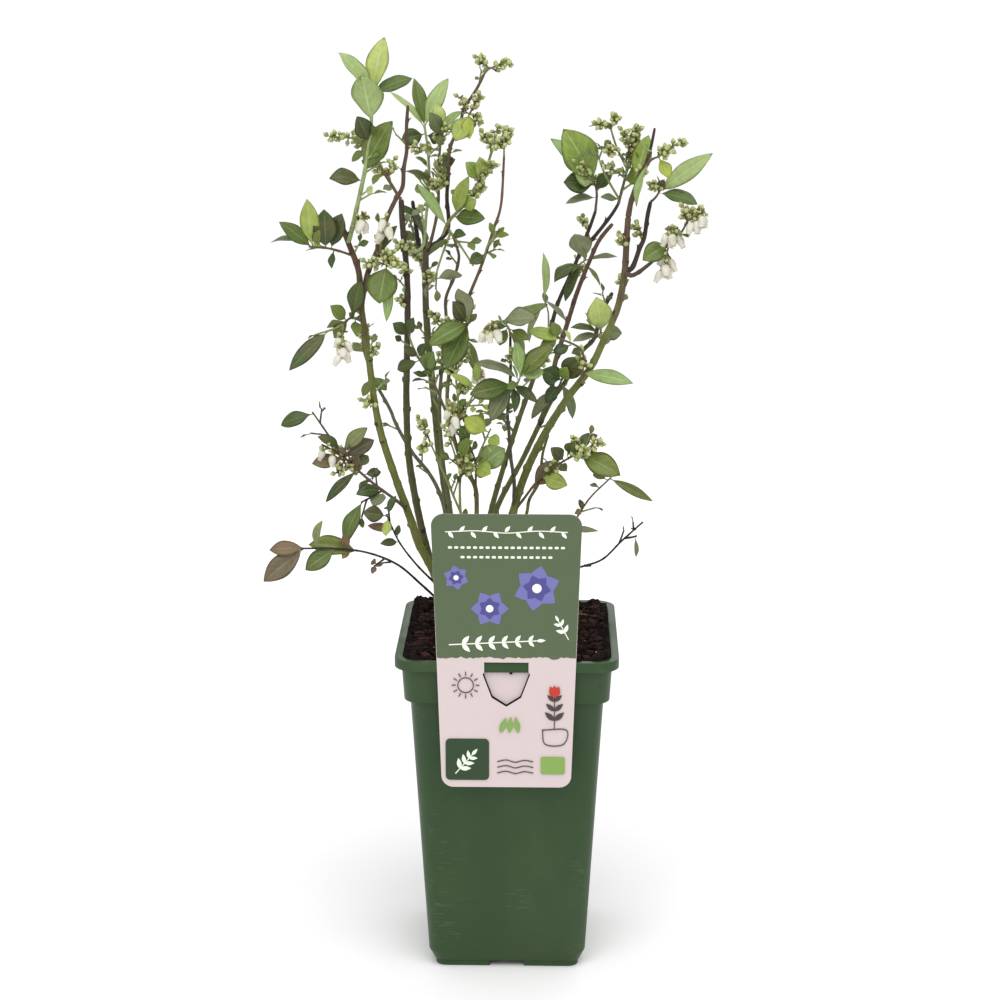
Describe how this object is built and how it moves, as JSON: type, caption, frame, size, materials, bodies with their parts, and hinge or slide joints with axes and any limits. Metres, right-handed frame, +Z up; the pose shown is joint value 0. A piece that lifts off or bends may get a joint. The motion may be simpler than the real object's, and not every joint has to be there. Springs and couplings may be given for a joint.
{
  "type": "potted blueberry bush",
  "caption": "Young multi-stemmed blueberry bush in leaf and bud, in a tall square plastic nursery pot of compost with a label card hung on its rim.",
  "frame": {"origin": "middle of the flat underside of the pot, which stands on a level surface at z = 0", "axes": "+Z up, -Y towards the side with the label card (the picture's side), +X to the right seen from there"},
  "size_m": [0.292, 0.1798, 0.635],
  "materials": {
    "pot": "satin moulded, lightly scuffed",
    "compost": "rough, crumbly, damp",
    "card": "printed, satin",
    "bark": "matt, finely ridged",
    "foliage": "matt to waxy leaves, buds and bells"
  },
  "bodies": {
    "root": {"bough_back_right": "bark", "bough_dark_right": "bark", "bough_left_bare": "bark", "bough_right_bare": "bark", "bough_right_bloom": "bark", "bough_right_dark": "bark", "bough_slender": "bark", "bough_tall_bud": "bark", "bough_tall_stub": "bark", "cane_back_left": "bark", "cane_back_right": "bark", "cane_inner": "bark", "cane_left": "bark", "cane_red": "bark", "cane_right": "bark", "cane_side": "bark", "cane_straight": "bark", "cane_tall": "bark", "cane_thin": "bark", "compost": "compost", "label_card": "card", "pot": "pot", "spray_back_high": "foliage", "spray_back_left": "foliage", "spray_back_low": "foliage", "spray_back_mid": "foliage", "spray_back_right_mid": "foliage", "spray_back_right_top": "foliage", "spray_dark_right_top": "foliage", "spray_dead_twig": "foliage", "spray_inner_mid": "foliage", "spray_inner_top": "foliage", "spray_left_bells": "foliage", "spray_left_fan": "foliage", "spray_left_low": "foliage", "spray_left_tip": "foliage", "spray_low_left": "foliage", "spray_low_left_inner": "foliage", "spray_outer_left": "foliage", "spray_red_low": "foliage", "spray_red_side": "foliage", "spray_red_top": "foliage", "spray_right_bloom": "foliage", "spray_right_dark_top": "foliage", "spray_right_low": "foliage", "spray_right_outer": "foliage", "spray_right_side": "foliage", "spray_right_top": "foliage", "spray_slender_mid": "foliage", "spray_slender_top": "foliage", "spray_straight_low": "foliage", "spray_straight_top": "foliage", "spray_tall_buds": "foliage", "spray_tall_low": "foliage", "spray_tall_mid": "foliage", "spray_tall_right": "foliage", "spray_tall_side": "foliage", "spray_thin_top": "foliage", "spray_vine": "foliage", "spray_young_second": "foliage"}
  },
  "joints": []
}
